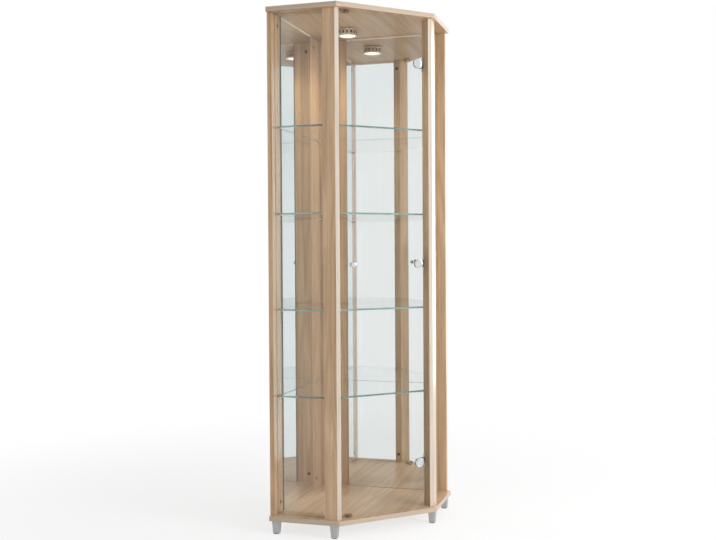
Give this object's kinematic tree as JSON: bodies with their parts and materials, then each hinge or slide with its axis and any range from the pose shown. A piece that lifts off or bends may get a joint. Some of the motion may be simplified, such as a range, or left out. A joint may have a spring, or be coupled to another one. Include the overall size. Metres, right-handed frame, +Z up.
{
  "type": "corner curio cabinet",
  "caption": "Tall five-sided corner display cabinet with mirrored walls, glazed short sides, glass shelves and a hinged glass door.",
  "frame": {"origin": "middle of the floor rectangle that the cabinet covers, at floor level", "axes": "+Z up, the door faces -Y, the wall corner is at +Y, +X to the right of someone facing the door"},
  "size_m": [0.7298, 0.5402, 1.767],
  "materials": {
    "oak_decor": "satin wood-grain facing",
    "clear_glass": "polished",
    "mirror": "polished",
    "bright_chrome": "polished",
    "bright_steel": "plated",
    "satin_silver": "silver lacquered",
    "grey_plastic": "moulded",
    "frosted_lens": "frosted, lit"
  },
  "bodies": {
    "cabinet": {"top_board": "oak_decor", "base_board": "oak_decor", "wall_board_left": "oak_decor", "wall_board_right": "oak_decor", "front_post_left": "oak_decor", "front_post_right": "oak_decor", "mirror_left": "mirror", "mirror_right": "mirror", "side_glass_left": "clear_glass", "side_glass_right": "clear_glass", "shelf_1": "clear_glass", "shelf_2": "clear_glass", "shelf_3": "clear_glass", "shelf_4": "clear_glass", "shelf_1_peg_side_left": "bright_steel", "shelf_1_peg_front_left": "bright_steel", "shelf_1_peg_corner_left": "bright_steel", "shelf_1_peg_side_right": "bright_steel", "shelf_1_peg_front_right": "bright_steel", "shelf_2_peg_side_left": "bright_steel", "shelf_2_peg_front_left": "bright_steel", "shelf_2_peg_corner_left": "bright_steel", "shelf_2_peg_side_right": "bright_steel", "shelf_2_peg_front_right": "bright_steel", "shelf_3_peg_side_left": "bright_steel", "shelf_3_peg_front_left": "bright_steel", "shelf_3_peg_corner_left": "bright_steel", "shelf_3_peg_side_right": "bright_steel", "shelf_3_peg_front_right": "bright_steel", "shelf_4_peg_side_left": "bright_steel", "shelf_4_peg_front_left": "bright_steel", "shelf_4_peg_corner_left": "bright_steel", "shelf_4_peg_side_right": "bright_steel", "shelf_4_peg_front_right": "bright_steel", "hinge_arm_bottom": "bright_chrome", "hinge_arm_middle": "bright_chrome", "hinge_arm_top": "bright_chrome", "catch_bottom": "grey_plastic", "catch_top": "grey_plastic", "spotlight_board": "grey_plastic", "foot_corner": "satin_silver", "foot_left_side": "satin_silver", "foot_right_side": "satin_silver", "foot_left_front": "satin_silver", "foot_right_front": "satin_silver", "spotlight_body": "bright_chrome", "spotlight_ring": "bright_chrome", "spotlight_lens": "frosted_lens"},
    "door": {"door_glass": "clear_glass", "hinge_cup_bottom": "bright_chrome", "hinge_cup_middle": "bright_chrome", "hinge_cup_top": "bright_chrome", "hinge_cap_bottom": "bright_chrome", "hinge_cap_middle": "bright_chrome", "hinge_cap_top": "bright_chrome", "door_knob": "bright_chrome", "knob_screw": "bright_steel", "strike_bottom": "bright_chrome", "strike_top": "bright_chrome"}
  },
  "joints": [
    {"name": "door_hinge", "type": "hinge", "parent": "cabinet", "child": "door", "pos_m": [0.15843, -0.23211, 0.906], "axis": [0, 0, 1], "range_deg": [0, 95]}
  ]
}
